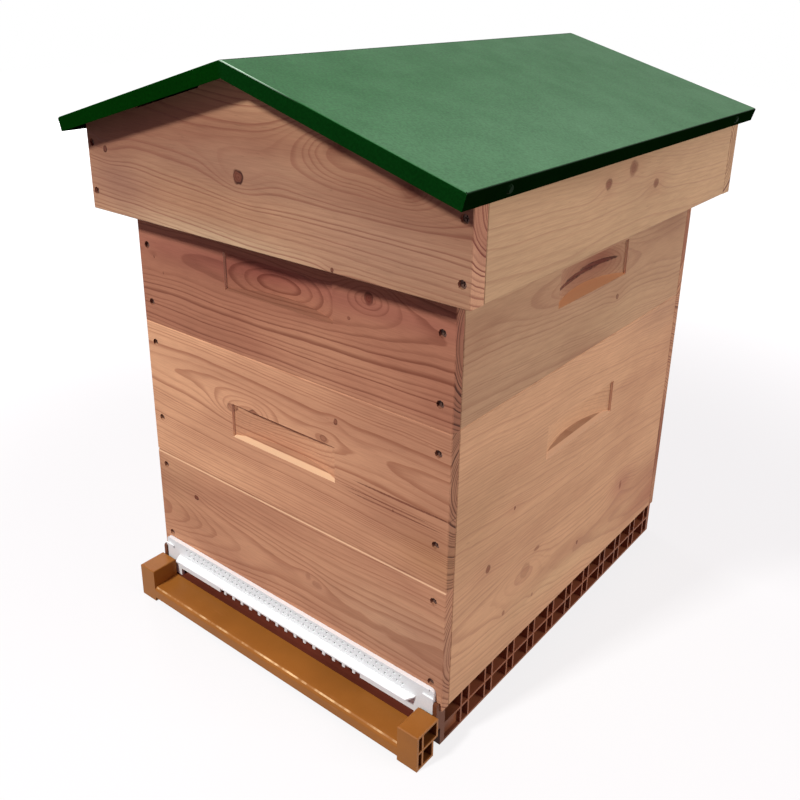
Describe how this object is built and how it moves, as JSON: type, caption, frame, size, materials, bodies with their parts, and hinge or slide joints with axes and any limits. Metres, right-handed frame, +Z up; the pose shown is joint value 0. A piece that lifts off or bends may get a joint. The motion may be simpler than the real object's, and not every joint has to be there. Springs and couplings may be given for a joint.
{
  "type": "beehive",
  "caption": "Wooden Dadant beehive on a ribbed plastic floor with a flight board, a brood box, a super with frames, a crown board and a gabled roof under a folded green metal sheet.",
  "frame": {"origin": "on the ground under the middle of the hive boxes", "axes": "+Z up, the entrance and flight board towards -Y, +X to the right of someone facing the entrance from the front"},
  "size_m": [0.515, 0.61, 0.659],
  "materials": {
    "box_wood": "bare planed softwood",
    "roof_wood": "bare planed softwood",
    "frame_wood": "bare planed softwood",
    "crown_wood": "plywood and bare softwood",
    "beeswax": "satin wax",
    "floor_plastic": "satin moulded",
    "flight_plastic": "satin moulded",
    "tray_plastic": "satin moulded",
    "white_plastic": "satin moulded",
    "green_sheet": "satin paint",
    "steel": "zinc plated"
  },
  "bodies": {
    "floor": {"floor_left_rail": "floor_plastic", "floor_right_rail": "floor_plastic", "floor_front_sill": "floor_plastic", "floor_rear_bar": "floor_plastic", "ventilation_grid": "floor_plastic"},
    "inspection_tray": {"tray_base": "tray_plastic", "tray_rim": "tray_plastic", "tray_pull": "tray_plastic"},
    "flight_board": {"flight_board": "flight_plastic"},
    "entrance_reducer": {"entrance_reducer": "white_plastic"},
    "brood_box": {"brood_front_lower_board": "box_wood", "brood_front_upper_board": "box_wood", "brood_rear_lower_board": "box_wood", "brood_rear_upper_board": "box_wood", "brood_left_wall": "box_wood", "brood_right_wall": "box_wood", "brood_screws": "steel", "brood_spacer_strips": "steel"},
    "brood_frames": {"brood_top_bars": "frame_wood", "brood_side_bars": "frame_wood", "brood_bottom_bars": "frame_wood", "brood_foundation": "beeswax"},
    "super_box": {"super_front_board": "box_wood", "super_rear_board": "box_wood", "super_left_wall": "box_wood", "super_right_wall": "box_wood", "super_screws": "steel", "super_spacer_strips": "steel"},
    "super_frames": {"super_top_bars": "frame_wood", "super_side_bars": "frame_wood", "super_bottom_bars": "frame_wood", "super_foundation": "beeswax"},
    "crown_board": {"crown_panel": "crown_wood", "crown_battens": "crown_wood"},
    "roof": {"roof_front_gable": "roof_wood", "roof_rear_gable": "roof_wood", "roof_left_side": "roof_wood", "roof_right_side": "roof_wood", "roof_ridge_batten": "roof_wood", "roof_rest_battens": "roof_wood", "roof_sheet": "green_sheet", "roof_screws": "steel", "sheet_screws": "green_sheet"}
  },
  "joints": [
    {"name": "tray_slide", "type": "slide", "parent": "floor", "child": "inspection_tray", "axis": [0, 1, 0], "range_m": [0, 0.4]},
    {"name": "flight_board_slide", "type": "slide", "parent": "floor", "child": "flight_board", "axis": [0, -1, 0], "range_m": [0, 0.05]},
    {"name": "reducer_lift", "type": "slide", "parent": "floor", "child": "entrance_reducer", "axis": [0, 0, 1], "range_m": [0, 0.06]},
    {"name": "brood_box_lift", "type": "slide", "parent": "floor", "child": "brood_box", "axis": [0, 0, 1], "range_m": [0, 0.2]},
    {"name": "brood_frames_lift", "type": "slide", "parent": "brood_box", "child": "brood_frames", "axis": [0, 0, 1], "range_m": [0, 0.33]},
    {"name": "super_box_lift", "type": "slide", "parent": "brood_frames", "child": "super_box", "axis": [0, 0, 1], "range_m": [0, 0.2]},
    {"name": "super_frames_lift", "type": "slide", "parent": "super_box", "child": "super_frames", "axis": [0, 0, 1], "range_m": [0, 0.19]},
    {"name": "crown_board_lift", "type": "slide", "parent": "super_frames", "child": "crown_board", "axis": [0, 0, 1], "range_m": [0, 0.12]},
    {"name": "roof_lift", "type": "slide", "parent": "crown_board", "child": "roof", "axis": [0, 0, 1], "range_m": [0, 0.3]}
  ]
}
